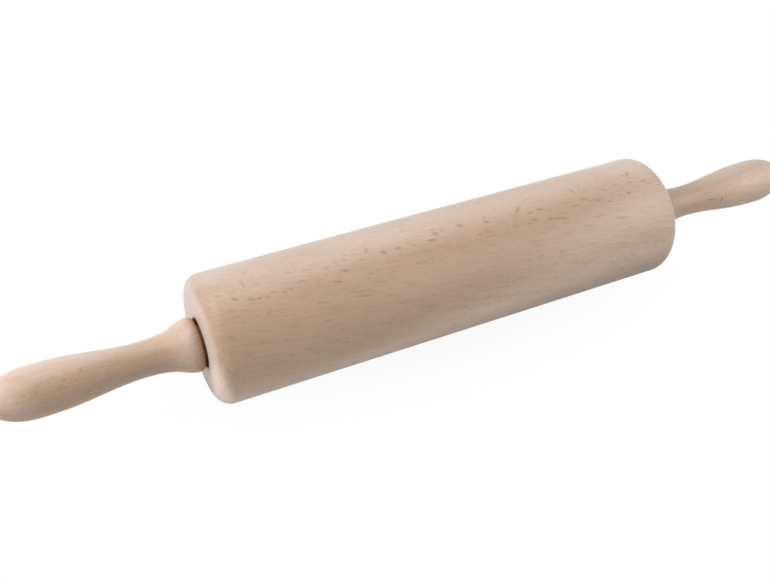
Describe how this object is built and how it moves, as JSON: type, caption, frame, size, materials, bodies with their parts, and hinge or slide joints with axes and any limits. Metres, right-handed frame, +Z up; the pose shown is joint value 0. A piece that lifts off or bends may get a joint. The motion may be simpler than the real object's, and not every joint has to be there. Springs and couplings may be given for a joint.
{
  "type": "rolling pin",
  "caption": "Revolving rolling pin: a round-edged beech barrel that turns on ball bearings about a steel axle, with a turned beech handle at each end.",
  "frame": {"origin": "middle of the barrel, on the axle's centre line", "axes": "+X along the pin, towards the right handle; +Z up; the part is the same end for end"},
  "size_m": [0.423, 0.06, 0.06],
  "materials": {
    "barrel_beech": "sanded, untreated, satin",
    "left_handle_beech": "sanded, untreated, satin",
    "right_handle_beech": "sanded, untreated, satin",
    "axle_steel": "drawn",
    "bearing_steel": "ground",
    "bearing_balls": "polished",
    "pressed_steel": "pressed sheet"
  },
  "bodies": {
    "handles": {"axle": "axle_steel", "left_handle": "left_handle_beech", "right_handle": "right_handle_beech", "left_thrust_washer": "axle_steel", "right_thrust_washer": "axle_steel", "left_bearing_inner_race": "bearing_steel", "right_bearing_inner_race": "bearing_steel"},
    "barrel": {"barrel": "barrel_beech", "left_bearing_outer_race": "bearing_steel", "right_bearing_outer_race": "bearing_steel", "left_bearing_outboard_shield": "pressed_steel", "right_bearing_outboard_shield": "pressed_steel", "left_bearing_inboard_shield": "pressed_steel", "right_bearing_inboard_shield": "pressed_steel"},
    "left_ball_set": {"left_bearing_balls": "bearing_balls", "left_bearing_cage_outboard_half": "pressed_steel", "left_bearing_cage_inboard_half": "pressed_steel", "left_bearing_cage_rivets": "pressed_steel"},
    "right_ball_set": {"right_bearing_balls": "bearing_balls", "right_bearing_cage_outboard_half": "pressed_steel", "right_bearing_cage_inboard_half": "pressed_steel", "right_bearing_cage_rivets": "pressed_steel"}
  },
  "joints": [
    {"name": "barrel_spin", "type": "hinge", "parent": "handles", "child": "barrel", "pos_m": [0, 0, 0], "axis": [1, 0, 0], "continuous": true},
    {"name": "left_cage_spin", "type": "hinge", "parent": "handles", "child": "left_ball_set", "pos_m": [-0.1125, 0, 0], "axis": [1, 0, 0], "continuous": true},
    {"name": "right_cage_spin", "type": "hinge", "parent": "handles", "child": "right_ball_set", "pos_m": [0.1125, 0, 0], "axis": [1, 0, 0], "continuous": true}
  ],
  "couplings": [
    {"joint": "left_cage_spin", "follows": "barrel_spin", "ratio": 0.6323},
    {"joint": "right_cage_spin", "follows": "barrel_spin", "ratio": 0.6323}
  ]
}
